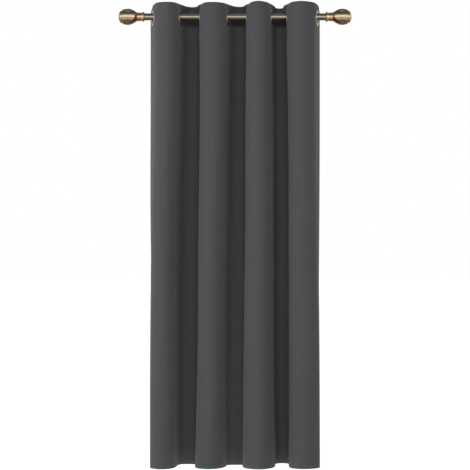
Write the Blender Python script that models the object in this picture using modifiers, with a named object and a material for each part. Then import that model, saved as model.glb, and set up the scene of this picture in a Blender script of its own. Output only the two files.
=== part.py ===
"""Eyelet-top curtain panel hanging on a telescopic pole with ball finials.

Frame: metres, +Z up, +X along the pole, the room side of the curtain faces -Y.
The origin is on the pole's axis, half way between the two finial collars.

The cloth's plan view is one line that snakes round the pole. At each eyelet it is flat, as
wide as the rigid rings that clamp it. Between two eyelets it turns through one fold, whose
length is fixed by the spacing of the eyelets in the flat cloth.
"""
import math

import bmesh
import bpy
import numpy as np
from mathutils import Vector

MM = 0.001
GAP = 0.3 * MM                    # between pieces that touch

# Cloth, as it is cut and hemmed
CLOTH_WIDTH = 1676 * MM           # 66 in
CLOTH_DROP = 1830 * MM            # 72 in
CLOTH_THICK = 1.0 * MM
SIDE_MARGIN = 64.5 * MM           # side edge to the first eyelet's centre
TOP_ABOVE_POLE = 49 * MM          # top edge above the pole's axis
STIFFENER_HEIGHT = 110 * MM       # the band of stiffener sewn into the heading
STIFFENER_THICK = 0.8 * MM
STIFFENER_INSET = 3 * MM          # from the top edge and the side edges

# Eyelets: where each stands on the pole, and the way the cloth heads through it.
# An odd eyelet takes the cloth to the front of the pole, an even one to the back.
EYELET_X = [-323.9 * MM, -217.5 * MM, -135.9 * MM, -28.8 * MM,
            49.2 * MM, 144.0 * MM, 206.4 * MM, 324.5 * MM]
EYELET_HEADING = [-79, 82, -95, 82, -96, 84, -91, 78]   # degrees from +X
EYELET_PITCH = (CLOTH_WIDTH - 2 * SIDE_MARGIN) / (len(EYELET_X) - 1)
RING_OUTER_R = 33 * MM
RING_BORE_R = 20 * MM
RING_HEIGHT = 2.4 * MM            # how far each ring stands off the cloth
BARREL_R = 22 * MM                # outside of the neck that passes through the cloth
CLOTH_HOLE_R = 24 * MM
FLAT_HALF = 34 * MM               # the cloth stays flat this far each side of an eyelet

# Pole
TUBE_R = 14 * MM                  # 28 mm outer tube, 25 mm inner tube
TUBE_WALL = 1.2 * MM
INNER_TUBE_R = 12.5 * MM
POLE_HALF = 359 * MM              # middle to a finial's collar, with the pole closed
INNER_TUBE_LENGTH = 660 * MM

# Finials, from the collar outwards
COLLAR_LENGTH = 29 * MM
BULB_LENGTH = 58 * MM
BULB_R = 32 * MM
COLLAR_R = 20.2 * MM
TIP_LENGTH = 15 * MM
TIP_R = 24.6 * MM
STUD_R = 3 * MM
PLUG_LENGTH = 22 * MM

LABEL_SIZE = (32 * MM, 0.6 * MM, 48 * MM)
LABEL_ABOVE_HEM = 180 * MM

FOLD_STEPS = 10                   # flat facets round one fold
FINE_STEPS = 40                   # steps of the summed plan line in each facet
TURN_STEPS = 20                   # facets round a turned piece
CUTTER_DEPTH = 32 * MM            # of the drum that cuts each eyelet's hole
NECK_SHORT = 0.5 * MM             # a ring's neck ends this far inside the back ring's face

TOP_Z = TOP_ABOVE_POLE
BOTTOM_Z = TOP_Z - CLOTH_DROP
EYELET_Z = TUBE_R + GAP - RING_BORE_R      # the rings hang on the top of the pole
CLOTH_OFFSET = -(GAP + CLOTH_THICK) / 2    # cloth and stiffener lie either side of the line
STIFFENER_OFFSET = (GAP + STIFFENER_THICK) / 2
FRONT_RING_SEAT = -(CLOTH_THICK + 1.5 * GAP)
BACK_RING_SEAT = STIFFENER_THICK + 1.5 * GAP


# ---------------------------------------------------------------- scene and helpers

def clear_scene():
    for obj in list(bpy.data.objects):
        bpy.data.objects.remove(obj, do_unlink=True)


def make_collection(name):
    group = bpy.data.collections.new(name)
    bpy.context.scene.collection.children.link(group)
    return group


def make_material(name, colour, roughness, metallic=0.0):
    material = bpy.data.materials.new(name)
    material.use_nodes = True
    shader = material.node_tree.nodes["Principled BSDF"]
    shader.inputs["Base Color"].default_value = (*colour, 1)
    shader.inputs["Roughness"].default_value = roughness
    shader.inputs["Metallic"].default_value = metallic
    material.diffuse_color = (*colour, 1)
    return material


def add_object(name, mesh, group, look, parent=None, location=(0, 0, 0), turn_z=0.0):
    obj = bpy.data.objects.new(name, mesh)
    group.objects.link(obj)
    obj.data.materials.append(make_material(name, *LOOKS[look]))
    obj.location = location
    obj.rotation_euler = (0, 0, turn_z)
    obj.parent = parent
    return obj


def add_pivot(name, location, group, parent=None):
    pivot = bpy.data.objects.new(name, None)
    pivot.empty_display_size = 0.03
    pivot.location = location
    pivot.parent = parent
    group.objects.link(pivot)
    return pivot


LOOKS = {  # colour, roughness, metallic
    "cloth": ((0.07, 0.07, 0.074), 0.9, 0.0),
    "stiffener": ((0.75, 0.75, 0.73), 0.9, 0.0),
    "nickel": ((0.75, 0.75, 0.76), 0.25, 1.0),
    "antique": ((0.42, 0.35, 0.26), 0.35, 1.0),
    "copper": ((0.62, 0.43, 0.32), 0.3, 1.0),
    "steel": ((0.55, 0.55, 0.55), 0.4, 1.0),
    "plastic": ((0.1, 0.1, 0.1), 0.6, 0.0),
    "label": ((0.85, 0.85, 0.85), 0.8, 0.0),
}


# ---------------------------------------------------------------- the cloth's plan line

def heading_vector(angle):
    return np.array([math.cos(angle), math.sin(angle)])


def back_side(angle):
    """The unit vector that points out of the back of cloth heading this way."""
    return np.array([-math.sin(angle), math.cos(angle)])


def fold_headings(share, heading_in, heading_out, pinch, skew):
    """The cloth's heading at each share of a fold's length.

    The cloth turns evenly when pinch and skew are 0. Pinch moves the turning to the middle
    of the fold, and skew moves it to one end.
    """
    wave = share - pinch * np.sin(2 * np.pi * share) / (2 * np.pi)
    wave = wave + skew * np.sin(np.pi * share) / np.pi
    return heading_in + (heading_out - heading_in) * wave


def solve_fold(span, heading_in, heading_out, length):
    """The pinch and skew that carry a fold of this length across the span."""
    samples = (np.arange(400) + 0.5) / 400

    def miss(shape):
        angles = fold_headings(samples, heading_in, heading_out, *shape)
        reach = length * np.array([np.cos(angles).mean(), np.sin(angles).mean()])
        return reach - span

    shape, nudge = np.zeros(2), 1e-5
    for _ in range(30):
        here = miss(shape)
        slope = np.column_stack([(miss(shape + nudge * step) - here) / nudge for step in np.eye(2)])
        shape = shape - 0.7 * np.linalg.solve(slope, here)
    return shape


def fold_line(number):
    """(points, headings) of the plan line from one eyelet's centre to the next."""
    angle_in, angle_out = (math.radians(EYELET_HEADING[number + k]) for k in (0, 1))
    first = np.array([EYELET_X[number], 0.0])
    last = np.array([EYELET_X[number + 1], 0.0])
    start = first + FLAT_HALF * heading_vector(angle_in)
    end = last - FLAT_HALF * heading_vector(angle_out)
    length = EYELET_PITCH - 2 * FLAT_HALF
    shape = solve_fold(end - start, angle_in, angle_out, length)
    share = (np.arange(FOLD_STEPS * FINE_STEPS) + 0.5) / (FOLD_STEPS * FINE_STEPS)
    angles = fold_headings(share, angle_in, angle_out, *shape)
    steps = np.column_stack([np.cos(angles), np.sin(angles)]) * length / len(share)
    path = start + np.vstack([np.zeros(2), np.cumsum(steps, axis=0)])[::FINE_STEPS]
    corners = fold_headings(np.linspace(0, 1, FOLD_STEPS + 1), angle_in, angle_out, *shape)
    points = np.vstack([first, path, last])
    return points, np.concatenate([[angle_in], corners, [angle_out]])


def return_line(number, way):
    """The flat stretch between an end eyelet and the side edge: way -1 before, +1 after."""
    angle = math.radians(EYELET_HEADING[number])
    centre = np.array([EYELET_X[number], 0.0])
    edge = centre + way * SIDE_MARGIN * heading_vector(angle)
    points = np.array([edge, centre] if way < 0 else [centre, edge])
    return points, np.array([angle, angle])


def shorten(points, at_start, at_end):
    """The same line with a little taken off its ends."""
    points = points.copy()
    for end, near, cut in ((0, 1, at_start), (-1, -2, at_end)):
        inward = points[near] - points[end]
        points[end] += cut * inward / np.linalg.norm(inward)
    return points


# ---------------------------------------------------------------- cloth pieces

def ribbon_mesh(name, points, low_z, high_z):
    """A standing ribbon along a plan line: an extruded curve, turned into a mesh."""
    curve = bpy.data.curves.new(name, "CURVE")
    curve.dimensions = "3D"
    curve.extrude = (high_z - low_z) / 2
    spline = curve.splines.new("POLY")
    spline.points.add(len(points) - 1)
    for knot, (x, y) in zip(spline.points, points):
        knot.co = (x, y, (high_z + low_z) / 2, 1)
    holder = bpy.data.objects.new(name, curve)
    bpy.context.scene.collection.objects.link(holder)
    bpy.context.view_layer.update()
    mesh = bpy.data.meshes.new_from_object(holder.evaluated_get(bpy.context.evaluated_depsgraph_get()))
    bpy.data.objects.remove(holder, do_unlink=True)
    return mesh


def add_layer(name, line, offset, thick, z_range, ends, look, body, group, holes):
    """One thin layer of the panel, offset from its plan line and holed for its eyelets."""
    points, headings = line
    moved = points + offset * np.array([back_side(a) for a in headings])
    moved = shorten(moved, *ends) - np.array(body.location[:2])
    layer = add_object(name, ribbon_mesh(name, moved, *z_range), group, look, parent=body)
    skin = layer.modifiers.new("thickness", "SOLIDIFY")
    skin.thickness = thick
    skin.offset = 0
    for hole in holes:
        cut = layer.modifiers.new("eyelet hole", "BOOLEAN")
        cut.operation = "DIFFERENCE"
        cut.solver = "EXACT"
        cut.object = hole
    return layer


def add_hole_cutter(number, pivot, group):
    """A drum through the cloth, whose axis is the eyelet's own."""
    mesh = bpy.data.meshes.new(f"hole_cutter_{number + 1}")
    shape = bmesh.new()
    bmesh.ops.create_cone(shape, cap_ends=True, segments=TURN_STEPS, radius1=CLOTH_HOLE_R,
                          radius2=CLOTH_HOLE_R, depth=CUTTER_DEPTH)
    shape.to_mesh(mesh)
    shape.free()
    cutter = bpy.data.objects.new(mesh.name, mesh)
    group.objects.link(cutter)
    cutter.location = (0, 0, EYELET_Z)
    cutter.rotation_euler = ring_turn(number)
    cutter.parent = pivot
    cutter.hide_render = True
    cutter.display_type = "WIRE"
    return cutter


def add_cloth(pivots, cutters, group):
    """The panel's layers, one stretch for each fold and one for each side return."""
    stretches = [("left_return", return_line(0, -1), 0, [0])]
    for number in range(len(EYELET_X) - 1):
        side = "front" if number % 2 == 0 else "back"
        name = f"{side}_fold_{number // 2 + 1}"
        stretches.append((name, fold_line(number), number, [number, number + 1]))
    last = len(EYELET_X) - 1
    stretches.append(("right_return", return_line(last, 1), last, [last]))
    for name, line, body, eyelets in stretches:
        holes = [cutters[k] for k in eyelets]
        joins = [GAP / 2, GAP / 2]
        add_layer(f"cloth_{name}", line, CLOTH_OFFSET, CLOTH_THICK, (BOTTOM_Z, TOP_Z), joins,
                  "cloth", pivots[body], group, holes)
        if name == "left_return":
            joins = [STIFFENER_INSET, GAP / 2]
        elif name == "right_return":
            joins = [GAP / 2, STIFFENER_INSET]
        high = TOP_Z - STIFFENER_INSET
        add_layer(f"stiffener_{name}", line, STIFFENER_OFFSET, STIFFENER_THICK,
                  (high - STIFFENER_HEIGHT, high), joins, "stiffener", pivots[body], group, holes)


def add_label(pivot, group):
    """A blank label sewn to the back of the cloth, inside the left return."""
    angle = math.radians(EYELET_HEADING[0])
    along, back = heading_vector(angle), back_side(angle)
    centre = -0.55 * SIDE_MARGIN * along + (LABEL_SIZE[1] / 2 + GAP) * back
    mesh = bpy.data.meshes.new("care_label")
    shape = bmesh.new()
    bmesh.ops.create_cube(shape, size=1)
    bmesh.ops.scale(shape, vec=LABEL_SIZE, verts=shape.verts)
    shape.to_mesh(mesh)
    shape.free()
    add_object("care_label", mesh, group, "label", pivot,
               (*centre, BOTTOM_Z + LABEL_ABOVE_HEM), angle)


# ---------------------------------------------------------------- turned pieces

def profile_mesh(name, profile, closed):
    """A wire of (radius, height) points, top to bottom on its outer side."""
    mesh = bpy.data.meshes.new(name)
    corners = [(radius, 0, height) for radius, height in profile]
    edges = [(k, k + 1) for k in range(len(corners) - 1)]
    if closed:
        edges.append((len(corners) - 1, 0))
    mesh.from_pydata(corners, edges, [])
    mesh.update()
    return mesh


def add_turned(name, profile, closed, look, group, parent, location, rotation):
    """A profile turned about Z, then laid in place."""
    obj = add_object(name, profile_mesh(name, profile, closed), group, look, parent, location)
    obj.rotation_euler = rotation
    screw = obj.modifiers.new("turn", "SCREW")
    screw.steps = TURN_STEPS
    screw.render_steps = TURN_STEPS
    screw.use_merge_vertices = True
    screw.merge_threshold = 0.00005
    screw.use_smooth_shade = True
    return obj


def arc(centre, radius, first, last, count):
    """Points round an arc of (radius, height) centre, from one angle to another, in degrees."""
    angles = np.radians(np.linspace(first, last, count))
    return [(centre[0] + radius * math.cos(a), centre[1] + radius * math.sin(a)) for a in angles]


def ring_turn(number):
    """Turns +Z into the back of the cloth at this eyelet."""
    angle = math.radians(EYELET_HEADING[number])
    back = Vector((*back_side(angle), 0))
    return Vector((0, 0, 1)).rotation_difference(back).to_euler()


def add_eyelet(number, pivot, group):
    """Two rings that clamp the heading. The front ring's neck passes through the cloth."""
    middle = (RING_OUTER_R + RING_BORE_R) / 2
    swell = (RING_OUTER_R - RING_BORE_R) / 2
    back_top = BACK_RING_SEAT + RING_HEIGHT
    neck_end = back_top - NECK_SHORT

    front = [(BARREL_R, neck_end), (BARREL_R, FRONT_RING_SEAT), (RING_OUTER_R, FRONT_RING_SEAT)]
    front += [(middle + swell * math.cos(a), FRONT_RING_SEAT - RING_HEIGHT * math.sin(a))
              for a in np.radians([35, 75, 125])]
    front += [(RING_BORE_R, FRONT_RING_SEAT - 0.6 * MM), (RING_BORE_R, neck_end)]
    back_inner = BARREL_R + GAP
    back = [(back_inner, back_top - 0.8 * MM)]
    back += [(middle + swell * math.cos(a), BACK_RING_SEAT + RING_HEIGHT * math.sin(a))
             for a in np.radians([115, 75, 35])]
    back += [(RING_OUTER_R, BACK_RING_SEAT), (back_inner, BACK_RING_SEAT)]
    place, turn = (0, 0, EYELET_Z), ring_turn(number)
    add_turned(f"eyelet_front_ring_{number + 1}", front, True, "nickel", group, pivot, place, turn)
    add_turned(f"eyelet_back_ring_{number + 1}", back, True, "nickel", group, pivot, place, turn)


# ---------------------------------------------------------------- pole and finials

def tube_profile(radius, wall, length):
    """A plain tube's wall, standing on z = 0."""
    return [(radius, length), (radius, 0), (radius - wall, 0), (radius - wall, length)]


def collar_profile():
    """Beads, neck and flange of a finial's collar, from the bulb down to the pole."""
    bore, bead_r = STUD_R + GAP, 2 * MM
    outline = [(bore, COLLAR_LENGTH), (16.8 * MM, COLLAR_LENGTH)]
    for height, radius in ((26, 18.2), (20.5, 17.6)):       # two beads against the bulb
        outline += arc((radius * MM - bead_r, height * MM), bead_r, 60, -60, 3)
    outline += [(16.4 * MM, 17 * MM), (15.9 * MM, 11 * MM), (16.8 * MM, 7.5 * MM)]
    outline += arc((COLLAR_R - 2.6 * MM, 3.6 * MM), 2.6 * MM, 60, -60, 4)    # pole-side flange
    outline += [(17.5 * MM, 0.0), (bore, 0.0)]
    return outline


def bulb_profile():
    """An egg with its narrow end on the collar and a shoulder under the tip."""
    bore = STUD_R + GAP
    widest = 0.61 * BULB_LENGTH
    low_r, high_r = 16.8 * MM, 27.4 * MM
    outline = [(bore, BULB_LENGTH), (high_r - 1.5 * MM, BULB_LENGTH)]
    for share in (0.96, 0.7, 0.35):
        rise = share * (BULB_LENGTH - widest)
        outline.append((high_r + (BULB_R - high_r) * (1 - share ** 2), widest + rise))
    for share in (0, 0.2, 0.4, 0.6, 0.8):
        drop = share * widest
        outline.append((low_r + (BULB_R - low_r) * math.cos(share * math.pi / 2) ** 0.9,
                        widest - drop))
    outline += [(low_r, 0.0), (bore, 0.0)]
    return outline


def tip_profile():
    """The dome on the finial's outer end, with a blind hole for the stud."""
    hole, depth = STUD_R + GAP, 8 * MM
    rim = 1.5 * MM
    outline = [(0, TIP_LENGTH)]
    outline += [(TIP_R * math.sin(a), rim + (TIP_LENGTH - rim) * math.cos(a))
                for a in np.radians([18, 36, 54, 72, 90])]
    outline += [(TIP_R - 0.8 * MM, 0.0), (hole, 0.0), (hole, depth), (0, depth)]
    return outline


def add_finial(side, sign, end_pivot, plug_r, group):
    """A finial's pieces on its stud: plug in the tube, collar, bulb and tip."""
    turn = (0, sign * math.pi / 2, 0)

    def place(distance):
        return (sign * (POLE_HALF + distance) - end_pivot.location.x, 0, 0)

    bulb_at = COLLAR_LENGTH + GAP
    tip_at = bulb_at + BULB_LENGTH + GAP
    add_turned(f"{side}_finial_collar", collar_profile(), True, "copper", group, end_pivot,
               place(0), turn)
    add_turned(f"{side}_finial_bulb", bulb_profile(), True, "antique", group, end_pivot,
               place(bulb_at), turn)
    add_turned(f"{side}_finial_tip", tip_profile(), False, "antique", group, end_pivot,
               place(tip_at), turn)
    plug_from = -GAP - PLUG_LENGTH
    plug = [(plug_r, PLUG_LENGTH), (plug_r, 0), (STUD_R + GAP, 0), (STUD_R + GAP, PLUG_LENGTH)]
    add_turned(f"{side}_tube_plug", plug, True, "plastic", group, end_pivot,
               place(plug_from), turn)
    stud_length = tip_at + 6 * MM - plug_from
    stud = [(0, stud_length), (STUD_R, stud_length), (STUD_R, 0), (0, 0)]
    add_turned(f"{side}_finial_stud", stud, False, "steel", group, end_pivot,
               place(plug_from), turn)


def add_pole(root, extension, group):
    """The outer tube, and the inner tube that slides out of its right end."""
    length = 2 * (POLE_HALF - GAP)
    add_turned("pole_outer_tube", tube_profile(TUBE_R, TUBE_WALL, length), True, "antique",
               group, root, (-length / 2, 0, 0), (0, math.pi / 2, 0))
    inner_end = POLE_HALF - GAP
    add_turned("pole_inner_tube", tube_profile(INNER_TUBE_R, TUBE_WALL, INNER_TUBE_LENGTH), True,
               "antique", group, extension,
               (inner_end - INNER_TUBE_LENGTH - extension.location.x, 0, 0), (0, math.pi / 2, 0))
    add_finial("left", -1, root, TUBE_R - TUBE_WALL - GAP, group)
    add_finial("right", 1, extension, INNER_TUBE_R - TUBE_WALL - GAP, group)


def main():
    clear_scene()
    parts = make_collection("curtain_panel")
    cutters = make_collection("cutters")
    root = add_pivot("pole_frame", (0, 0, 0), parts)
    extension = add_pivot("extension_slide", (POLE_HALF, 0, 0), parts)
    pivots = [add_pivot(f"eyelet_slide_{k + 1}", (x, 0, 0), parts) for k, x in enumerate(EYELET_X)]
    bpy.context.view_layer.update()
    drums = [add_hole_cutter(k, pivot, cutters) for k, pivot in enumerate(pivots)]
    add_pole(root, extension, parts)
    for number, pivot in enumerate(pivots):
        add_eyelet(number, pivot, parts)
    add_cloth(pivots, drums, parts)
    add_label(pivots[0], parts)


main()
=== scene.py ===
"""Looks of the eyelet curtain panel: cloth, hems, stitching, eyelets, pole, finials and studio.

Frame: metres, +Z up, +X along the pole, -Y into the room. The cloth is described by two
distances on its flat face, u from its left side edge and v down from its top edge.
"""
import math

import bpy
import numpy as np
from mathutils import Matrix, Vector


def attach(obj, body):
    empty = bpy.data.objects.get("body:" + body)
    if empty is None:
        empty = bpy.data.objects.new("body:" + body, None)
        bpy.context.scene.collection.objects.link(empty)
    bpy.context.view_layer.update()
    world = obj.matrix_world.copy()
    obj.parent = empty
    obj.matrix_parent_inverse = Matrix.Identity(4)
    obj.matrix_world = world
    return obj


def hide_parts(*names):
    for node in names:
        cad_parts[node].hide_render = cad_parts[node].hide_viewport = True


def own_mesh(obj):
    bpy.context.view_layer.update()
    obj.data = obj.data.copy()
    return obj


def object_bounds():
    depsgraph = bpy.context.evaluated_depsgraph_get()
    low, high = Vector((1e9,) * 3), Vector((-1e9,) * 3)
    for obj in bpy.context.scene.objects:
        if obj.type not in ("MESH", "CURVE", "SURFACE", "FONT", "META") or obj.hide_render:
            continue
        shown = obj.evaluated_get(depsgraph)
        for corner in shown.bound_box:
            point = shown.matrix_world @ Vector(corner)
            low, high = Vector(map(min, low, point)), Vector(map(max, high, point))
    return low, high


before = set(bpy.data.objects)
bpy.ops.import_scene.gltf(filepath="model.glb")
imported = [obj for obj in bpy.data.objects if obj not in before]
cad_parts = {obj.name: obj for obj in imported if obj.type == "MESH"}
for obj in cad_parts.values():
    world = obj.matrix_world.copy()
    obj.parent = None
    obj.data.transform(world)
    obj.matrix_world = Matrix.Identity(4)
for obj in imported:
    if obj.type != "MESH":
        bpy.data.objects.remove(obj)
CAD_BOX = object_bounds()

MM = 0.001

# Sizes that the CAD part is built on
GAP = 0.3 * MM                    # between pieces that touch
CLOTH_WIDTH = 1676 * MM
CLOTH_DROP = 1830 * MM
SIDE_MARGIN = 64.5 * MM
TOP_Z = 49 * MM
EYELET_X = [-323.9 * MM, -217.5 * MM, -135.9 * MM, -28.8 * MM,
            49.2 * MM, 144.0 * MM, 206.4 * MM, 324.5 * MM]
EYELET_HEADING = [-79, 82, -95, 82, -96, 84, -91, 78]   # degrees from +X
EYELET_COUNT = len(EYELET_X)
EYELET_PITCH = (CLOTH_WIDTH - 2 * SIDE_MARGIN) / (EYELET_COUNT - 1)
EYELET_U = [SIDE_MARGIN + k * EYELET_PITCH for k in range(EYELET_COUNT)]
FLAT_HALF = 34 * MM
TUBE_R = 14 * MM
RING_BORE_R = 20 * MM
RING_OUTER_R = 33 * MM
EYELET_Z = TUBE_R + GAP - RING_BORE_R
EYELET_V = TOP_Z - EYELET_Z
FRONT_SEAT = -1.45 * MM           # where the rings meet the cloth, along its back normal
BACK_SEAT = 1.25 * MM
RING_HEIGHT = 2.4 * MM            # from the cloth to the top of a ring's dome
POLE_HALF = 359 * MM
COLLAR_LENGTH = 29 * MM
BULB_LENGTH = 58 * MM
TIP_LENGTH = 15 * MM

# Layers of the panel: (offset along the back normal, thickness)
CLOTH_LAYER = (-0.65 * MM, 0.8 * MM)
STIFFENER_LAYER = (0.30 * MM, 0.6 * MM)
FACING_LAYER = (0.95 * MM, 0.5 * MM)
HEM_LAYER = (0.35 * MM, 0.8 * MM)
LABEL_LAYER = (1.05 * MM, 0.45 * MM)

HEADING_DEPTH = 117 * MM
HEM_DEPTH = 48 * MM
SIDE_HEM_WIDTH = 25 * MM
HOLE_RADIUS = 26 * MM             # the hole cut in the cloth, under the rings
LABEL_WIDTH, LABEL_HEIGHT = 32 * MM, 48 * MM
LABEL_UP = 180 * MM               # from the hem to the label's middle
LABEL_IN = 0.45 * SIDE_MARGIN     # from the side edge to the label's middle


# ---------------------------------------------------------------- the cloth's plan line

def fold_headings(share, heading_in, heading_out, pinch, skew):
    """The cloth's heading along one fold, as in the CAD part."""
    wave = share - pinch * np.sin(2 * np.pi * share) / (2 * np.pi)
    wave = wave + skew * np.sin(np.pi * share) / np.pi
    return heading_in + (heading_out - heading_in) * wave


def solve_fold(span, heading_in, heading_out, length):
    """The pinch and skew that carry a fold of this length across the span."""
    count, rounds = 400, 30
    nudge, caution = 1e-5, 0.7
    samples = (np.arange(count) + 0.5) / count

    def miss(shape):
        angles = fold_headings(samples, heading_in, heading_out, *shape)
        reach = length * np.array([np.cos(angles).mean(), np.sin(angles).mean()])
        return reach - span

    shape = np.zeros(2)
    for _ in range(rounds):
        here = miss(shape)
        slope = np.column_stack([(miss(shape + nudge * step) - here) / nudge for step in np.eye(2)])
        shape = shape - caution * np.linalg.solve(slope, here)
    return shape


def heading_table(step=0.5 * MM):
    """(u, heading) of the whole plan line in the heading, from side edge to side edge."""
    u = np.arange(0, CLOTH_WIDTH, step) + step / 2
    heading = np.empty_like(u)
    angles = np.radians(EYELET_HEADING)
    heading[u <= EYELET_U[0] + FLAT_HALF] = angles[0]
    heading[u >= EYELET_U[-1] - FLAT_HALF] = angles[-1]
    length = EYELET_PITCH - 2 * FLAT_HALF
    for k in range(EYELET_COUNT - 1):
        ahead, behind = (FLAT_HALF * np.array([math.cos(a), math.sin(a)]) for a in angles[k:k + 2])
        span = np.array([EYELET_X[k + 1] - EYELET_X[k], 0.0]) - ahead - behind
        shape = solve_fold(span, angles[k], angles[k + 1], length)
        share = np.clip((u - EYELET_U[k] - FLAT_HALF) / length, 0, 1)
        inside = (u > EYELET_U[k]) & (u <= EYELET_U[k + 1])
        heading[inside] = fold_headings(share[inside], angles[k], angles[k + 1], *shape)
    return u, heading


def smooth_along(values, step, spread):
    """A bell-weighted running mean along evenly spaced values."""
    reach = int(3 * spread / step)
    weights = np.exp(-0.5 * (np.arange(-reach, reach + 1) * step / spread) ** 2)
    padded = np.pad(values, reach, mode="edge")
    return np.convolve(padded, weights / weights.sum(), mode="valid")


def walk(u, heading):
    """Plan points (x, y) of a heading table, with every eyelet held on the pole."""
    step = u[1] - u[0]
    x = np.concatenate([[0], np.cumsum(np.cos(heading)) * step])
    y = np.concatenate([[0], np.cumsum(np.sin(heading)) * step])
    stations = np.concatenate([u - step / 2, [u[-1] + step / 2]])
    x += np.interp(stations, EYELET_U, EYELET_X - np.interp(EYELET_U, stations, x))
    y -= np.interp(stations, EYELET_U, np.interp(EYELET_U, stations, y))
    return stations, x, y


def ease(t):
    """0 to 1 with flat ends."""
    t = np.clip(t, 0, 1)
    return t * t * (3 - 2 * t)


TABLE_U, TABLE_HEADING = heading_table()
STATIONS, STIFF_X, STIFF_Y = walk(TABLE_U, TABLE_HEADING)
RELAXED_SPREAD = 22 * MM          # how far the folds round off below the stiff heading
RELAXED_HEADING = smooth_along(TABLE_HEADING, TABLE_U[1] - TABLE_U[0], RELAXED_SPREAD)
_, SOFT_X, SOFT_Y = walk(TABLE_U, RELAXED_HEADING)

FOLD_U = [EYELET_U[k] + EYELET_PITCH / 2 for k in range(EYELET_COUNT - 1)]

# How the folds wander on the way down. Each row is a depth below the top edge, in metres.
SWAY_V = [0.12, 0.35, 0.90, 1.45, 1.83]
SWAY_U = [0.0, EYELET_U[0], EYELET_U[0] + 45 * MM, *EYELET_U[1:7],
          EYELET_U[7] - 45 * MM, EYELET_U[7], CLOTH_WIDTH]
SWAY_MM = [                       # sideways, for each place in SWAY_U
    [0, 0, 0, 0, 0, 0, 0, 0, 0, 0, 0, 0],
    [0, -1, 0, -2, 0.5, -1.5, -4, 4, 4.3, 0, 0, 0],
    [0, -7, -10.5, -15, -4.7, -9.5, -6.5, 6.5, 7.5, 7.5, 5, -2],
    [14, -12, -16.5, -17, -10, -12.5, -14.5, 7.5, 8.5, 16.5, 10, -8],
    [24, -12, -18, -15, -21, -8, -18.5, 14.5, 7.5, 18.5, 11, -16],
]
DEPTH_SHARE = [                   # how deep each fold is, against its depth at the heading
    [1.0, 1.0, 1.0, 1.0, 1.0, 1.0, 1.0],
    [1.0, 1.0, 1.0, 1.0, 1.0, 1.0, 1.0],
    [1.0, 1.0, 1.0, 0.92, 1.0, 1.0, 1.0],
    [1.0, 0.94, 1.0, 0.74, 1.0, 1.05, 1.0],
    [1.03, 0.84, 1.03, 0.55, 1.05, 1.1, 1.03],
]


def between_rows(table, places, u, v):
    """A smooth surface through a table: straight along u, rounded along SWAY_V."""
    rows = np.array([np.interp(u.ravel(), places, row) for row in table])
    knots = np.array(SWAY_V)
    slopes = np.gradient(rows, knots, axis=0)
    slopes[0] = 0
    depth = np.clip(v.ravel(), knots[0], knots[-1])
    low = np.clip(np.searchsorted(knots, depth) - 1, 0, len(knots) - 2)
    every, width = np.arange(rows.shape[1]), knots[low + 1] - knots[low]
    t = (depth - knots[low]) / width
    mixed = ((2 * t ** 3 - 3 * t ** 2 + 1) * rows[low, every]
             + (3 * t ** 2 - 2 * t ** 3) * rows[low + 1, every]
             + (t ** 3 - 2 * t ** 2 + t) * width * slopes[low, every]
             + (t ** 3 - t ** 2) * width * slopes[low + 1, every])
    return mixed.reshape(u.shape)


# (millimetres high, waves per metre across, waves per metre down, phase) of the soft ripples
RIPPLES = [(0.9, 7.3, 0.55, 0.4), (0.7, 11.9, -0.8, 2.1), (0.45, 19.3, 1.3, 4.0),
           (0.35, 31.0, -1.7, 1.2), (0.25, 47.0, 2.9, 5.3)]
RIPPLES_FROM, RIPPLES_OVER = 0.12, 0.50     # v where they start, and the depth they grow in over
LOOSE_FROM, LOOSE_OVER = 0.10, 0.45         # the same, for the stiff line easing into the relaxed one

# Above the rings the top edge opens out: how far each flank turns towards the next fold
TOP_OPENING = [4 * MM, 6 * MM, 17 * MM, 6 * MM, 18 * MM, 7 * MM, 15 * MM, 1 * MM]
TOP_MARGIN = 36 * MM              # the depth of cloth that opens
TOP_LIFT_MM = [-1.5, 0, -1, 1.5, 2.5, -5, 3.5]     # how high each fold's top edge stands
LIFT_DEPTH = 250 * MM             # the lift fades out this far down
CORNER_DROOP = (11 * MM, 0)       # how far the top corner sags at the left and right edges
CORNER_LEAN = 4 * MM              # how far the top corners lean inwards
CORNER_REACH = 45 * MM            # the sag starts this far inside the end eyelets

# Dents in the cloth: (u, v, reach across, reach down, how far it stands out)
DENTS = [(EYELET_U[0] + 21 * MM, 0.145, 8 * MM, 42 * MM, 2.6 * MM),
         (EYELET_U[1] + 26 * MM, 0.110, 7 * MM, 22 * MM, 1.6 * MM),
         (EYELET_U[3] + 24 * MM, 0.115, 8 * MM, 26 * MM, 1.6 * MM),
         (EYELET_U[4] - 20 * MM, 0.120, 7 * MM, 20 * MM, -1.4 * MM),
         (EYELET_U[5] + 30 * MM, 0.125, 6 * MM, 34 * MM, 1.8 * MM),
         (EYELET_U[6] - 22 * MM, 0.110, 7 * MM, 24 * MM, -1.5 * MM)]

# Puckers along the seams: (v of the seam, height), and (waves per metre, phase, share)
SEAMS = [(HEADING_DEPTH, 0.25 * MM), (CLOTH_DROP - HEM_DEPTH, 0.6 * MM)]
PUCKER_REACH = 13 * MM            # above and below the seam
PUCKER_WAVES = [(41.0, 0.3, 0.5), (63.7, 1.9, 0.35), (24.3, 4.1, 0.4)]


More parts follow.
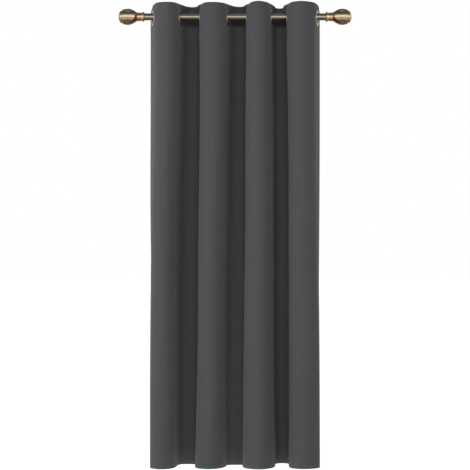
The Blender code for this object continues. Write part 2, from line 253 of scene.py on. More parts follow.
def seam_relief(u, v):
    """How far puckers and dents push the cloth out, against its back normal."""
    relief = 0 * u
    for seam, height in SEAMS:
        near = np.exp(-((v - seam) / PUCKER_REACH) ** 2)
        wave = sum(share * np.sin(2 * np.pi * (rate * u + 3 * (v - seam)) + phase)
                   for rate, phase, share in PUCKER_WAVES)
        patch = 0.55 + 0.45 * np.sin(2 * np.pi * 4.3 * u + 1.1) * np.sin(2 * np.pi * 1.7 * u)
        relief = relief + height * near * wave * patch
    for centre_u, centre_v, reach_u, reach_v, depth in DENTS:
        away = ((u - centre_u) / reach_u) ** 2 + ((v - centre_v) / reach_v) ** 2
        relief = relief + depth * np.exp(-away)
    return relief


def ripple_depth(u, v):
    """Soft uneven waves that grow in below the heading."""
    grown = ease((v - RIPPLES_FROM) / RIPPLES_OVER)
    depth = 0 * u
    for height, across, down, phase in RIPPLES:
        wave = np.sin(2 * np.pi * (across * u + down * v) + phase)
        slow = np.sin(2 * np.pi * (0.37 * across * u - 0.6 * down * v) + 2 * phase)
        depth = depth + height * MM * grown * wave * (0.6 + 0.4 * slow)
    return depth


def top_lift(u, v):
    """How high each fold's top edge stands, fading out below it."""
    places = np.sort([*EYELET_U, *FOLD_U])
    lifts = np.zeros(len(places))
    lifts[1::2] = TOP_LIFT_MM
    return MM * np.interp(u, places, lifts) * (1 - ease(v / LIFT_DEPTH))


def cloth_points(u, v):
    """Where the middle of the panel's layers is, at flat positions u and v (arrays)."""
    loose = ease((v - LOOSE_FROM) / LOOSE_OVER)
    x = np.interp(u, STATIONS, STIFF_X) * (1 - loose) + np.interp(u, STATIONS, SOFT_X) * loose
    y = np.interp(u, STATIONS, STIFF_Y) * (1 - loose) + np.interp(u, STATIONS, SOFT_Y) * loose
    x = x + MM * between_rows(SWAY_MM, SWAY_U, u, v)
    y = y * between_rows(DEPTH_SHARE, FOLD_U, u, v) + ripple_depth(u, v)
    z = TOP_Z - v + top_lift(u, v)
    above = np.clip(1 - v / TOP_MARGIN, 0, 1) ** 1.5
    opening = np.interp(u, EYELET_U, TOP_OPENING)
    inside = (u > EYELET_U[0]) & (u < EYELET_U[-1])
    x = x + above * inside * opening * np.sin(2 * np.pi * (u - EYELET_U[0]) / EYELET_PITCH)
    for side, corner in enumerate((EYELET_U[0] - u, u - EYELET_U[-1])):
        sag = ease((corner + CORNER_REACH) / (SIDE_MARGIN + CORNER_REACH))
        z = z - above * CORNER_DROOP[side] * sag
        x = x + above * CORNER_LEAN * (1 - 2 * side) * ease(corner / SIDE_MARGIN)
    return np.stack([x, y, z], axis=-1)


def cloth_surface(u, v, offset):
    """Points of one layer: the panel's middle, moved along its back normal."""
    step = 1 * MM
    along = cloth_points(u + step, v) - cloth_points(u - step, v)
    down = cloth_points(u, v + step) - cloth_points(u, v - step)
    normal = np.cross(along, down)
    normal /= np.linalg.norm(normal, axis=-1, keepdims=True)
    shift = offset - seam_relief(u, v)
    return cloth_points(u, v) + shift[..., None] * normal, normal


# ---------------------------------------------------------------- mesh helpers

def new_object(name, mesh):
    obj = bpy.data.objects.new(name, mesh)
    bpy.context.scene.collection.objects.link(obj)
    return obj


def grid_mesh(name, points, flat, keep=None):
    """A mesh from a grid of points, with its flat (u, v) positions kept for the weave."""
    rows, columns = points.shape[:2]
    index = np.arange(rows * columns).reshape(rows, columns)
    quads = np.stack([index[:-1, :-1], index[1:, :-1], index[1:, 1:], index[:-1, 1:]], axis=-1)
    quads = quads.reshape(-1, 4) if keep is None else quads[keep]
    used = np.unique(quads)
    renumber = np.full(rows * columns, -1)
    renumber[used] = np.arange(len(used))
    mesh = bpy.data.meshes.new(name)
    mesh.from_pydata(points.reshape(-1, 3)[used].tolist(), [], renumber[quads].tolist())
    place = mesh.attributes.new("flat_place", "FLOAT_VECTOR", "POINT")
    place.data.foreach_set("vector", flat.reshape(-1, 3)[used].astype(np.float32).ravel())
    mesh.shade_smooth()
    return mesh


def flat_grid(u_values, v_values):
    """Grids of u and of v, and the same two as (u, v, 0) places."""
    u, v = np.meshgrid(u_values, v_values)
    return u, v, np.stack([u, v, 0 * u], axis=-1)


def hole_free(u, v, radius):
    """Which quads of a flat grid lie clear of the eyelets' holes."""
    middle_u = (u[:-1, :-1] + u[1:, 1:]) / 2
    middle_v = (v[:-1, :-1] + v[1:, 1:]) / 2
    clear = np.ones(middle_u.shape, bool)
    for centre in EYELET_U:
        clear &= np.hypot(middle_u - centre, middle_v - EYELET_V) > radius
    return clear


def evenly(first, last, spacing):
    """Values from first to last, about this far apart."""
    return np.linspace(first, last, max(2, round((last - first) / spacing) + 1))


def apply_modifiers(obj):
    """Turns an object's modifiers into plain mesh."""
    bpy.context.view_layer.update()
    graph = bpy.context.evaluated_depsgraph_get()
    mesh = bpy.data.meshes.new_from_object(obj.evaluated_get(graph), depsgraph=graph,
                                           preserve_all_data_layers=True)
    obj.modifiers.clear()
    obj.data = mesh


def make_layer(name, layer, u_values, v_values, material, holes=True):
    """A closed sheet on the panel's surface, cut away under the eyelets where it has holes."""
    offset, thickness = layer
    u, v, flat = flat_grid(u_values, v_values)
    points, _ = cloth_surface(u, v, offset)
    keep = hole_free(u, v, HOLE_RADIUS) if holes else None
    sheet = new_object(name, grid_mesh(name, points, flat, keep))
    sheet.data.materials.append(material)
    skin = sheet.modifiers.new("thickness", "SOLIDIFY")
    skin.thickness = thickness
    skin.offset = 0
    apply_modifiers(sheet)
    sheet.data.shade_smooth()
    return sheet


def gather(obj):
    """The piece rides with the first eyelet, on a mesh of its own."""
    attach(obj, "eyelet_1")
    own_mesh(obj)


# ---------------------------------------------------------------- materials

def new_material(name, colour, roughness, metallic=0.0):
    """A material with its node tree and its shader."""
    material = bpy.data.materials.new(name)
    material.use_nodes = True
    shader = material.node_tree.nodes["Principled BSDF"]
    shader.inputs["Base Color"].default_value = (*colour, 1)
    shader.inputs["Roughness"].default_value = roughness
    shader.inputs["Metallic"].default_value = metallic
    return material, material.node_tree, shader


def add_node(tree, kind, **values):
    """A node with inputs or properties set by name."""
    node = tree.nodes.new(kind)
    for name, value in values.items():
        if name in node.inputs:
            node.inputs[name].default_value = value
        else:
            setattr(node, name, value)
    return node


def math_node(tree, operation, first, second=None, third=None):
    """A math node. Each input is a number or another node's output."""
    node = add_node(tree, "ShaderNodeMath", operation=operation)
    for socket, value in zip(node.inputs, (first, second, third)):
        if value is None:
            continue
        if isinstance(value, (int, float)):
            socket.default_value = value
        else:
            tree.links.new(value, socket)
    return node.outputs[0]


def two_tone(tree, factor, dark, light):
    """A colour that goes from dark to light with the factor."""
    ramp = add_node(tree, "ShaderNodeValToRGB")
    ramp.color_ramp.elements[0].color = (*dark, 1)
    ramp.color_ramp.elements[1].color = (*light, 1)
    tree.links.new(factor, ramp.inputs["Fac"])
    return ramp.outputs["Color"]


def woven_material(name, dark, light):
    """Plain weave, with slubs along the warp threads and soft cloudy variation."""
    thread = 0.55 * MM
    slubs_per_metre = (2600, 120, 1)      # fine across the threads, long along them
    material, tree, shader = new_material(name, light, 0.88)
    place = add_node(tree, "ShaderNodeAttribute", attribute_name="flat_place")
    split = add_node(tree, "ShaderNodeSeparateXYZ")
    tree.links.new(place.outputs["Vector"], split.inputs[0])
    turns = math.pi / thread
    warp = math_node(tree, "SINE", math_node(tree, "MULTIPLY", split.outputs["X"], turns))
    weft = math_node(tree, "SINE", math_node(tree, "MULTIPLY", split.outputs["Y"], turns))
    over = math_node(tree, "MULTIPLY", warp, weft)
    slub = add_node(tree, "ShaderNodeTexNoise", Scale=1.0, Detail=3.0)
    stretch = add_node(tree, "ShaderNodeMapping")
    stretch.inputs["Scale"].default_value = slubs_per_metre
    tree.links.new(place.outputs["Vector"], stretch.inputs["Vector"])
    tree.links.new(stretch.outputs[0], slub.inputs["Vector"])
    cloud = add_node(tree, "ShaderNodeTexNoise", Scale=9.0, Detail=4.0)
    tree.links.new(place.outputs["Vector"], cloud.inputs["Vector"])
    grain = math_node(tree, "MULTIPLY_ADD", over, 0.22, 0.5)
    tone = math_node(tree, "ADD", math_node(tree, "MULTIPLY", grain, 0.45),
                     math_node(tree, "MULTIPLY", slub.outputs["Fac"], 0.35))
    tone = math_node(tree, "ADD", tone, math_node(tree, "MULTIPLY", cloud.outputs["Fac"], 0.2))
    tree.links.new(two_tone(tree, tone, dark, light), shader.inputs["Base Color"])
    relief = add_node(tree, "ShaderNodeBump", Strength=0.35, Distance=0.25 * MM)
    height = math_node(tree, "ADD", over, math_node(tree, "MULTIPLY", slub.outputs["Fac"], 1.2))
    tree.links.new(height, relief.inputs["Height"])
    tree.links.new(relief.outputs[0], shader.inputs["Normal"])
    shader.inputs["Sheen Weight"].default_value = 0.10
    shader.inputs["Sheen Roughness"].default_value = 0.45
    shader.inputs["Specular IOR Level"].default_value = 0.12
    return material


def metal_material(name, colour, roughness):
    """Turned metal: fine lathe marks round the axis of turning, and a faint cloudy wear."""
    marks_per_metre = (12, 12, 400)       # drawn out round the axis, close together along it
    wear = 0.12
    material, tree, shader = new_material(name, colour, roughness, metallic=1.0)
    where = add_node(tree, "ShaderNodeTexCoord")
    stretch = add_node(tree, "ShaderNodeMapping")
    stretch.inputs["Scale"].default_value = marks_per_metre
    tree.links.new(where.outputs["Object"], stretch.inputs["Vector"])
    marks = add_node(tree, "ShaderNodeTexNoise", Scale=1.0, Detail=2.0)
    tree.links.new(stretch.outputs[0], marks.inputs["Vector"])
    cloud = add_node(tree, "ShaderNodeTexNoise", Scale=22.0, Detail=4.0)
    tree.links.new(where.outputs["Object"], cloud.inputs["Vector"])
    tone = math_node(tree, "ADD", math_node(tree, "MULTIPLY", marks.outputs["Fac"], 0.5),
                     math_node(tree, "MULTIPLY", cloud.outputs["Fac"], 0.5))
    worn = tuple(c * (1 - wear) for c in colour)
    fresh = tuple(min(1, c * (1 + wear)) for c in colour)
    tree.links.new(two_tone(tree, tone, worn, fresh), shader.inputs["Base Color"])
    rough = add_node(tree, "ShaderNodeMapRange")
    rough.inputs["To Min"].default_value = roughness + 0.07
    rough.inputs["To Max"].default_value = roughness - 0.05
    tree.links.new(tone, rough.inputs["Value"])
    tree.links.new(rough.outputs[0], shader.inputs["Roughness"])
    relief = add_node(tree, "ShaderNodeBump", Strength=0.06, Distance=0.05 * MM)
    tree.links.new(marks.outputs["Fac"], relief.inputs["Height"])
    tree.links.new(relief.outputs[0], shader.inputs["Normal"])
    return material


def grained_material(name, colour):
    """Thread, interlining, ribbon or moulded plastic: one colour with a fine grain."""
    material, tree, shader = new_material(name, colour, 0.85)
    where = add_node(tree, "ShaderNodeTexCoord")
    grain = add_node(tree, "ShaderNodeTexNoise", Scale=900.0, Detail=3.0)
    tree.links.new(where.outputs["Object"], grain.inputs["Vector"])
    shade = tuple(0.82 * c for c in colour)
    tree.links.new(two_tone(tree, grain.outputs["Fac"], shade, colour), shader.inputs["Base Color"])
    relief = add_node(tree, "ShaderNodeBump", Strength=0.3, Distance=0.2 * MM)
    tree.links.new(grain.outputs["Fac"], relief.inputs["Height"])
    tree.links.new(relief.outputs[0], shader.inputs["Normal"])
    return material


CLOTH_LOOK = woven_material("charcoal_weave", (0.038, 0.038, 0.040), (0.068, 0.068, 0.071))
THREAD_LOOK = grained_material("charcoal_thread", (0.085, 0.085, 0.088))
STIFFENER_LOOK = grained_material("white_interlining", (0.75, 0.75, 0.73))
LABEL_LOOK = grained_material("white_satin_ribbon", (0.85, 0.85, 0.84))
POLE_LOOK = metal_material("antique_pewter", (0.34, 0.32, 0.28), 0.13)
FINIAL_LOOK = metal_material("antique_brass", (0.53, 0.44, 0.33), 0.12)
COLLAR_LOOK = metal_material("rose_brass", (0.74, 0.54, 0.37), 0.15)
NICKEL_LOOK = metal_material("bright_nickel", (0.58, 0.58, 0.59), 0.18)
STEEL_LOOK = metal_material("zinc_steel", (0.50, 0.50, 0.51), 0.35)
PLUG_LOOK = grained_material("black_moulding", (0.03, 0.03, 0.03))


# ---------------------------------------------------------------- the panel

FOLD_NAMES = [f"{'front' if k % 2 == 0 else 'back'}_fold_{k // 2 + 1}" for k in range(EYELET_COUNT - 1)]
STRETCHES = ["left_return", *FOLD_NAMES, "right_return"]
FINE, COARSE = 4 * MM, 12 * MM    # spacing of the cloth's rows and columns


def panel_columns(first=0.0, last=CLOTH_WIDTH):
    """Flat positions across the panel, for a layer's columns."""
    return evenly(first, last, FINE)


def make_cloth():
    """The face cloth, one sheet from top edge to hem."""
    heading = evenly(0, HEADING_DEPTH + 10 * MM, FINE)
    rows = np.concatenate([heading, evenly(heading[-1], CLOTH_DROP, COARSE)[1:]])
    cloth = make_layer("face_cloth", CLOTH_LAYER, panel_columns(), rows, CLOTH_LOOK)
    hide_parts(*[f"cloth_{name}" for name in STRETCHES])
    return cloth


def make_heading():
    """The stiffener, and the cloth turned down behind it."""
    inset = 3 * MM
    columns = panel_columns(inset, CLOTH_WIDTH - inset)
    stiffener = make_layer("heading_band", STIFFENER_LAYER, columns,
                           evenly(inset, inset + 110 * MM, FINE), STIFFENER_LOOK)
    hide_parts(*[f"stiffener_{name}" for name in STRETCHES])
    facing = make_layer("heading_facing", FACING_LAYER, panel_columns(),
                        evenly(0, HEADING_DEPTH + 4 * MM, FINE), CLOTH_LOOK)
    return [stiffener, facing]


def closed_tube(name, rings, flat, material):
    """A capped tube from a (stations, sides, 3) array."""
    stations, sides = rings.shape[:2]
    index = np.arange(stations * sides).reshape(stations, sides)
    around = np.roll(index, -1, axis=1)
    quads = np.stack([index[:-1], around[:-1], around[1:], index[1:]], axis=-1).reshape(-1, 4)
    mesh = bpy.data.meshes.new(name)
    caps = [index[0][::-1].tolist(), index[-1].tolist()]
    mesh.from_pydata(rings.reshape(-1, 3).tolist(), [], quads.tolist() + caps)
    place = mesh.attributes.new("flat_place", "FLOAT_VECTOR", "POINT")
    place.data.foreach_set("vector", flat.reshape(-1, 3).astype(np.float32).ravel())
    mesh.materials.append(material)
    mesh.shade_smooth()
    return new_object(name, mesh)


def rolled_edge(name, u, v, inner, outer, material):
    """A round roll of cloth that joins two layers along a line of flat positions."""
    sides = 8
    points, normal = cloth_surface(u, v, (inner + outer) / 2)
    path = np.gradient(points, axis=0)
    path /= np.linalg.norm(path, axis=-1, keepdims=True)
    across = np.cross(path, normal)
    radius = (outer - inner) / 2
    turns = np.linspace(0, 2 * np.pi, sides, endpoint=False)
    ring = [points + radius * (math.cos(a) * normal + math.sin(a) * across) for a in turns]
    flat = np.stack([u, v, 0 * u], axis=-1)
    return closed_tube(name, np.stack(ring, axis=1), np.stack([flat] * sides, axis=1), material)


def make_edges():
    """Rolls where the cloth turns over: top edge, hem and both side edges."""
    columns, rows = panel_columns(), evenly(0, CLOTH_DROP, 6 * MM)
    front = CLOTH_LAYER[0] - CLOTH_LAYER[1] / 2
    heading_back = FACING_LAYER[0] + FACING_LAYER[1] / 2
    hem_back = HEM_LAYER[0] + HEM_LAYER[1] / 2
    lines = [
        ("top_roll", columns, 0 * columns, heading_back),
        ("hem_roll", columns, 0 * columns + CLOTH_DROP, hem_back),
        ("left_edge_roll", 0 * rows, rows, hem_back),
        ("right_edge_roll", 0 * rows + CLOTH_WIDTH, rows, hem_back),
    ]
    rolls = [rolled_edge(name, u, v, front, back, CLOTH_LOOK) for name, u, v, back in lines]
    return rolls


def make_hems():
    """The turned-up hem and the two side hems, on the back of the cloth."""
    low = evenly(CLOTH_DROP - HEM_DEPTH, CLOTH_DROP, 5 * MM)
    tall = evenly(HEADING_DEPTH + 6 * MM, CLOTH_DROP - HEM_DEPTH - 1 * MM, COARSE)
    hems = [
        make_layer("bottom_hem", HEM_LAYER, panel_columns(), low, CLOTH_LOOK, holes=False),
        make_layer("left_side_hem", HEM_LAYER, evenly(0, SIDE_HEM_WIDTH, FINE), tall, CLOTH_LOOK,
                   holes=False),
        make_layer("right_side_hem", HEM_LAYER, evenly(CLOTH_WIDTH - SIDE_HEM_WIDTH, CLOTH_WIDTH, FINE),
                   tall, CLOTH_LOOK, holes=False),
    ]
    return hems


def make_label():
    """A blank satin label on the back of the left side hem."""
    spacing = 2 * MM
    middle_v = CLOTH_DROP - LABEL_UP
    label = make_layer("satin_label", LABEL_LAYER,
                       evenly(LABEL_IN - LABEL_WIDTH / 2, LABEL_IN + LABEL_WIDTH / 2, spacing),
                       evenly(middle_v - LABEL_HEIGHT / 2, middle_v + LABEL_HEIGHT / 2, spacing),
                       LABEL_LOOK, holes=False)
    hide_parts("care_label")
    return label


def stitch_row(name, u, v, offset, stitch=3.4 * MM, gap=1.1 * MM, radius=0.2 * MM):
    """A row of separate stitches along a line of flat positions, each a short sunken thread."""
    length = np.concatenate([[0], np.cumsum(np.hypot(np.diff(u), np.diff(v)))])
    starts = np.arange(0, length[-1] - stitch, stitch + gap)
    shares = np.array([0.0, 0.12, 0.5, 0.88, 1.0])
    swell = np.array([0.15, 0.8, 1.0, 0.8, 0.15])
    stations = starts[:, None] + stitch * shares[None, :]
    su, sv = np.interp(stations, length, u), np.interp(stations, length, v)
    points, normal = cloth_surface(su, sv, offset)
    path = np.gradient(points, axis=1)
    path /= np.linalg.norm(path, axis=-1, keepdims=True)
    across = np.cross(path, normal)
    sides = 6
    rims = []
    for turn in np.linspace(0, 2 * np.pi, sides, endpoint=False):
        spoke = math.cos(turn) * normal + math.sin(turn) * across
        rims.append(points + radius * swell[None, :, None] * spoke)
    tube = np.stack(rims, axis=2)                       # stitch, share, side, xyz
    count, steps = tube.shape[:2]
    index = np.arange(count * steps * sides).reshape(count, steps, sides)
    around = np.roll(index, -1, axis=2)
    quads = np.stack([index[:, :-1], around[:, :-1], around[:, 1:], index[:, 1:]], axis=-1)
    caps = np.concatenate([index[:, 0, ::-1], index[:, -1]])
    mesh = bpy.data.meshes.new(name)
    mesh.from_pydata(tube.reshape(-1, 3).tolist(), [], quads.reshape(-1, 4).tolist() + caps.tolist())
    mesh.materials.append(THREAD_LOOK)
    mesh.shade_smooth()
    row = new_object(name, mesh)
    return row


def make_stitching():
    """Thread rows: across the heading, the hem, and down both side hems, front and back."""
    columns = evenly(2 * MM, CLOTH_WIDTH - 2 * MM, FINE)
    down = evenly(HEADING_DEPTH + 6 * MM, CLOTH_DROP - HEM_DEPTH, COARSE)
    front = CLOTH_LAYER[0] - CLOTH_LAYER[1] / 2
    heading_back = FACING_LAYER[0] + FACING_LAYER[1] / 2 + 0.05 * MM
    hem_back = HEM_LAYER[0] + HEM_LAYER[1] / 2 + 0.05 * MM
    inset = 3 * MM
    heading_v, hem_v = HEADING_DEPTH, CLOTH_DROP - HEM_DEPTH + inset
    left_u, right_u = SIDE_HEM_WIDTH - inset, CLOTH_WIDTH - SIDE_HEM_WIDTH + inset
    rows = [
        ("heading_stitches_front", columns, 0 * columns + heading_v, front),
        ("heading_stitches_back", columns, 0 * columns + heading_v, heading_back),
        ("hem_stitches_front", columns, 0 * columns + hem_v, front),
        ("hem_stitches_back", columns, 0 * columns + hem_v, hem_back),
        ("left_stitches_front", 0 * down + left_u, down, front),
        ("left_stitches_back", 0 * down + left_u, down, hem_back),
        ("right_stitches_front", 0 * down + right_u, down, front),
        ("right_stitches_back", 0 * down + right_u, down, hem_back),
    ]
    return [stitch_row(*row) for row in rows]


# ---------------------------------------------------------------- turned pieces

RING_STEPS, TURN_STEPS = 72, 128  # round a ring, and round the pole and finials


def turned(name, profile, closed, material, steps):
    """A profile of (radius, height) points turned about Z. The caller lays it in place."""
    mesh = bpy.data.meshes.new(name)
    edges = [(k, k + 1) for k in range(len(profile) - 1)]
    if closed:
        edges.append((len(profile) - 1, 0))
    mesh.from_pydata([(radius, 0, height) for radius, height in profile], edges, [])
    piece = new_object(name, mesh)
    screw = piece.modifiers.new("turn", "SCREW")
    screw.steps = steps
    screw.render_steps = steps
    screw.use_merge_vertices = True
    screw.merge_threshold = 0.00002
    apply_modifiers(piece)
    piece.data.materials.append(material)
    piece.data.shade_smooth()
    piece.data.set_sharp_from_angle(angle=math.radians(42))
    return piece


def settle(piece, turn, location, body, node):
    """Lays a turned piece in place and hands it to its body, for the CAD node it replaces."""
    piece.rotation_euler = turn
    piece.location = location
    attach(piece, body)
    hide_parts(node)


def arc(centre, radius, first, last, count):
    """Points round part of a circle, its ends given in degrees."""
    angles = np.radians(np.linspace(first, last, count))
    return [(centre[0] + radius * math.cos(a), centre[1] + radius * math.sin(a)) for a in angles]


def ring_dome(seat, sign, first, last, count):
    """The rounded face of a ring, rising from its seat, between two angles in degrees."""
    middle, half = (RING_OUTER_R + RING_BORE_R) / 2, (RING_OUTER_R - RING_BORE_R) / 2
    edge = 0.3 * MM
    rise = RING_HEIGHT - edge
    return [(middle + half * math.cos(a), seat + sign * (edge + rise * math.sin(a) ** 0.8))
            for a in np.radians(np.linspace(first, last, count))]


def make_eyelets():
    """A front ring with its neck and a back ring, for each eyelet."""
    barrel, back_top = 22 * MM, BACK_SEAT + RING_HEIGHT
    neck_end = back_top - 0.5 * MM
    front = [(barrel, neck_end), (barrel, FRONT_SEAT), (RING_OUTER_R, FRONT_SEAT)]
    front += ring_dome(FRONT_SEAT, -1, first=4, last=150, count=16)
    front += [(RING_BORE_R, FRONT_SEAT - 0.6 * MM), (RING_BORE_R, neck_end)]
    inner = barrel + GAP
    back = [(inner, back_top - 0.8 * MM)]
    back += ring_dome(BACK_SEAT, 1, first=128, last=4, count=14)
    back += [(RING_OUTER_R, BACK_SEAT), (inner, BACK_SEAT)]
    for k, x in enumerate(EYELET_X):
        angle = math.radians(EYELET_HEADING[k])
        behind = Vector((-math.sin(angle), math.cos(angle), 0))
        turn = Vector((0, 0, 1)).rotation_difference(behind).to_euler()
        for side, profile in (("front", front), ("back", back)):
            ring = turned(f"ring_{side}_{k + 1}", profile, True, NICKEL_LOOK, RING_STEPS)
            settle(ring, turn, (x, 0, EYELET_Z), f"eyelet_{k + 1}",
                   f"eyelet_{side}_ring_{k + 1}")


def rounded(radius, height, edge, top):
    """Points round a small outer edge at the top or bottom of a turned piece."""
    if top:
        return arc((radius - edge, height - edge), edge, 90, 0, 4)
    return arc((radius - edge, height + edge), edge, 0, -90, 4)


def collar_outline():
    """From the bulb's end down its two beads, its waist and its rim to the pole's end."""
    bore = 3.3 * MM
    bead = 2 * MM
    line = [(bore, COLLAR_LENGTH), (16.4 * MM, COLLAR_LENGTH)]
    for height, radius in ((26, 18.2), (20.5, 17.6)):       # the beads, in millimetres
        line += arc((radius * MM - bead, height * MM), bead, 70, -70, 9)
        line += [(radius * MM - 1.5 * MM, (height - 2.4) * MM)]
    line += arc((22 * MM, 12.2 * MM), 6.0 * MM, 140, 220, 9)
    line += [(17.0 * MM, 7.2 * MM), (17.4 * MM, 6.6 * MM)]
    line += arc((20.2 * MM - 2.2 * MM, 3.6 * MM), 2.2 * MM, 75, -75, 10)
    line += [(17.5 * MM, 0.9 * MM), (17.1 * MM, 0.0), (bore, 0.0)]
    return line


def bulb_outline():
    """An egg, widest past its middle, with a flat step at its outer end."""
    bore = 3.3 * MM
    widest, low_r, high_r, full_r = 0.61 * BULB_LENGTH, 16.8 * MM, 27.4 * MM, 32 * MM
    line = [(bore, BULB_LENGTH), (high_r - 2.0 * MM, BULB_LENGTH)]
    line += arc((high_r - 1.2 * MM, BULB_LENGTH - 1.2 * MM), 1.2 * MM, 90, 25, 4)
    for share in np.linspace(0.9, 0, 14):
        line.append((high_r + (full_r - high_r) * (1 - share ** 2),
                     widest + share * (BULB_LENGTH - widest)))
    for share in np.linspace(0.04, 0.97, 26):
        line.append((low_r + (full_r - low_r) * math.cos(share * math.pi / 2) ** 0.95,
                     widest * (1 - share)))
    line += [(low_r, 0.0), (bore, 0.0)]
    return line


def tip_outline():
    """A low dome with a hole in its flat side for the stud."""
    hole, depth, rim, full_r = 3.3 * MM, 8 * MM, 1.5 * MM, 24.6 * MM
    line = [(0, TIP_LENGTH)]
    line += [(full_r * math.sin(a), rim + (TIP_LENGTH - rim) * math.cos(a))
             for a in np.radians(np.linspace(4, 90, 20))]
    line += [(full_r - 0.8 * MM, 0.0), (hole, 0.0), (hole, depth), (0, depth)]
    return line


def make_finials():
    """A collar, a bulb and a tip at each end of the pole, running outwards."""
    bulb_at = COLLAR_LENGTH + GAP
    tip_at = bulb_at + BULB_LENGTH + GAP
    for side, sign, body in (("left", -1, "pole"), ("right", 1, "pole_extension")):
        turn = (0, sign * math.pi / 2, 0)
        pieces = [
            ("collar", collar_outline(), True, COLLAR_LOOK, "collar_metal", 0.0),
            ("bulb", bulb_outline(), True, FINIAL_LOOK, "finial_metal", bulb_at),
            ("tip", tip_outline(), False, FINIAL_LOOK, "finial_metal", tip_at),
        ]
        for part, outline, closed, look, slot, distance in pieces:
            piece = turned(f"{side}_{part}", outline, closed, look, TURN_STEPS)
            settle(piece, turn, (sign * (POLE_HALF + distance), 0, 0), body,
                   f"{side}_finial_{part}")


def make_pole():
    """The outer and inner tubes, with eased ends."""
    wall, edge = 1.2 * MM, 0.3 * MM
    inner_r, inner_length = 12.5 * MM, 660 * MM
    end = POLE_HALF - GAP
    for name, node, body, radius, length, start in (
            ("outer_tube", "pole_outer_tube", "pole", TUBE_R, 2 * end, -end),
            ("inner_tube", "pole_inner_tube", "pole_extension", inner_r, inner_length,
             end - inner_length)):
        outline = [*rounded(radius, length, edge, True), *rounded(radius, 0, edge, False)]
        outline += [(radius - wall, 0), (radius - wall, length)]
        tube = turned(name, outline, True, POLE_LOOK, TURN_STEPS)
        settle(tube, (0, math.pi / 2, 0), (start, 0, 0), body, node)


def finish_small_nodes():
    """Materials for the CAD nodes that stay: studs and plugs."""
    for side in ("left", "right"):
        for name, look in ((f"{side}_finial_stud", STEEL_LOOK), (f"{side}_tube_plug", PLUG_LOOK)):
            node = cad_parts[name]
            node.data.materials.clear()
            node.data.materials.append(look)


# ---------------------------------------------------------------- studio

CAMERA_DISTANCE = 7.0
LENS, SENSOR = 135.3, 36.0        # millimetres
CAMERA_BELOW_TOP = 913.5 * MM
FLOOR_BELOW_HEM, FLOOR_SIZE = 0.28, 80


def ramp_node(tree, factor, stops):
    """A colour ramp of greys or colours at the given places."""
    ramp = add_node(tree, "ShaderNodeValToRGB")
    elements = ramp.color_ramp.elements
    while len(elements) < len(stops):
        elements.new(0.5)
    for element, (position, colour) in zip(elements, stops):
        element.position = position
        element.color = (*colour, 1) if isinstance(colour, tuple) else (colour, colour, colour, 1)
    tree.links.new(factor, ramp.inputs["Fac"])
    return ramp.outputs["Color"]


def dimmed(tree, colour, dimming):
    """One colour times another."""
    mix = add_node(tree, "ShaderNodeMix", data_type="RGBA", blend_type="MULTIPLY")
    mix.inputs["Factor"].default_value = 1.0
    tree.links.new(colour, mix.inputs["A"])
    tree.links.new(dimming, mix.inputs["B"])
    return mix.outputs["Result"]


def soft_room(tree, depth, height):
    """What lights the cloth: most from behind, least from the front quarters, floor and ceiling."""
    around = ramp_node(tree, depth, [
        (0.0, 0.46), (0.06, 0.40), (0.3, 0.18), (0.48, 0.26), (0.56, 0.58)])
    tall = ramp_node(tree, height, [(0.15, 0.35), (0.42, 1.0), (0.58, 1.0), (0.85, 0.45)])
    return dimmed(tree, around, tall)


def banded_room(tree, depth, height, rise):
    """What the metal reflects: warm floor, a bright strip at eye level, a dark band, a pale ceiling."""
    bands = ramp_node(tree, height, [                   # straight down is 0, straight up is 1
        (0.0, (0.145, 0.118, 0.088)), (0.045, (0.085, 0.068, 0.05)), (0.12, (0.14, 0.112, 0.084)),
        (0.20, (0.34, 0.28, 0.22)), (0.26, (0.42, 0.355, 0.285)), (0.335, (0.38, 0.33, 0.27)),
        (0.43, (0.48, 0.43, 0.36)), (0.485, (0.70, 0.65, 0.58)), (0.53, (1.0, 0.96, 0.89)),
        (0.60, (0.86, 0.83, 0.77)), (0.66, (0.46, 0.44, 0.40)), (0.73, (0.24, 0.23, 0.205)),
        (0.80, (0.12, 0.114, 0.098)), (0.88, (0.05, 0.047, 0.038)), (0.95, (0.07, 0.067, 0.058)),
        (1.0, (0.17, 0.165, 0.15))])
    # behind the panel the room is darker, most of all at eye level
    steep = math_node(tree, "ABSOLUTE", rise)
    level_behind = math_node(tree, "MULTIPLY_ADD", steep, -0.35, depth)
    behind_dim = ramp_node(tree, level_behind, [(0.42, 1.0), (0.80, 0.30)])
    return dimmed(tree, bands, behind_dim)


def chosen(tree, switch, off, on):
    """One background or the other, by the kind of ray."""
    mix = add_node(tree, "ShaderNodeMixShader")
    for socket, output in zip(mix.inputs, (switch, off, on)):
        tree.links.new(output, socket)
    return mix.outputs[0]


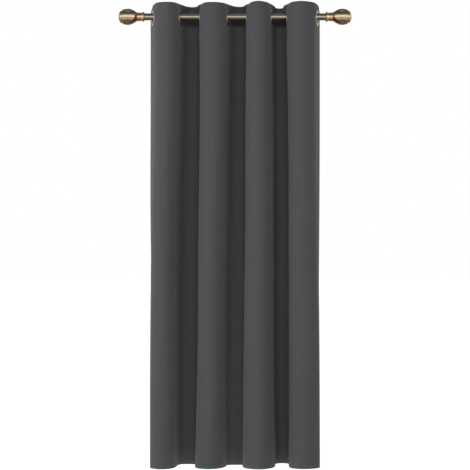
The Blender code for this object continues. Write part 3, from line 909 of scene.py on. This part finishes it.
def make_world():
    """A white backdrop to the camera, a soft room to the cloth and a banded room to the metal."""
    world = bpy.data.worlds.new("studio")
    bpy.context.scene.world = world
    world.use_nodes = True
    tree = world.node_tree
    where = add_node(tree, "ShaderNodeTexCoord")
    split = add_node(tree, "ShaderNodeSeparateXYZ")
    tree.links.new(where.outputs["Generated"], split.inputs[0])
    depth = math_node(tree, "MULTIPLY_ADD", split.outputs["Y"], 0.5, 0.5)
    height = math_node(tree, "MULTIPLY_ADD", split.outputs["Z"], 0.5, 0.5)
    light = tree.nodes["Background"]
    light.inputs["Strength"].default_value = 1.6
    tree.links.new(soft_room(tree, depth, height), light.inputs["Color"])
    shine = add_node(tree, "ShaderNodeBackground", Strength=2.0)
    tree.links.new(banded_room(tree, depth, height, split.outputs["Z"]), shine.inputs["Color"])
    white = add_node(tree, "ShaderNodeBackground", Color=(1, 1, 1, 1), Strength=1.0)
    rays = add_node(tree, "ShaderNodeLightPath")
    lit = chosen(tree, rays.outputs["Is Glossy Ray"], light.outputs[0], shine.outputs[0])
    seen = chosen(tree, rays.outputs["Is Camera Ray"], lit, white.outputs[0])
    tree.links.new(seen, tree.nodes["World Output"].inputs["Surface"])


def add_softbox(name, location, target, size, power):
    """A rectangular lamp aimed at the target, and left out of the metal's reflections."""
    data = bpy.data.lights.new(name, "AREA")
    data.shape = "RECTANGLE"
    data.size, data.size_y = size
    data.energy = power
    lamp = bpy.data.objects.new(name, data)
    bpy.context.scene.collection.objects.link(lamp)
    lamp.location = location
    lamp.visible_glossy = False
    lamp.rotation_euler = (Vector(target) - Vector(location)).to_track_quat("-Z", "Y").to_euler()


def make_studio():
    """Pale floor, world, two lamps and the camera."""
    scene = bpy.context.scene
    scene.view_settings.view_transform = "Standard"
    bpy.ops.mesh.primitive_plane_add(size=FLOOR_SIZE, location=(0, 0, CAD_BOX[0][2] - FLOOR_BELOW_HEM))
    floor = bpy.context.object
    floor.name = "studio_floor"
    paper, _, shader = new_material("pale_floor", (0.9, 0.9, 0.9), 0.9)
    shader.inputs["Specular IOR Level"].default_value = 0.0
    shader.inputs["Emission Color"].default_value = (1, 1, 1, 1)
    shader.inputs["Emission Strength"].default_value = 0.72
    floor.data.materials.append(paper)
    floor.visible_glossy = False      # the metal reflects the world's bands
    make_world()
    middle = (0, 0, (CAD_BOX[0][2] + CAD_BOX[1][2]) / 2)
    add_softbox("key_left", (-4.4, -2.2, -0.4), middle, (1.6, 2.8), 110)
    add_softbox("fill_front", (-0.3, -5.9, 0.95), middle, (1.6, 0.8), 157)

    data = bpy.data.cameras.new("camera")
    data.sensor_width = SENSOR
    data.lens = LENS
    camera = bpy.data.objects.new("camera", data)
    scene.collection.objects.link(camera)
    camera.location = (0, -CAMERA_DISTANCE, TOP_Z - CAMERA_BELOW_TOP)
    camera.rotation_euler = (math.pi / 2, 0, 0)
    scene.camera = camera


def main():
    make_studio()
    cloth = make_cloth()
    going_with = make_heading() + make_edges() + make_hems() + make_stitching() + [make_label()]
    for piece in [*going_with, cloth]:
        gather(piece)
    make_eyelets()
    make_pole()
    make_finials()
    finish_small_nodes()


main()
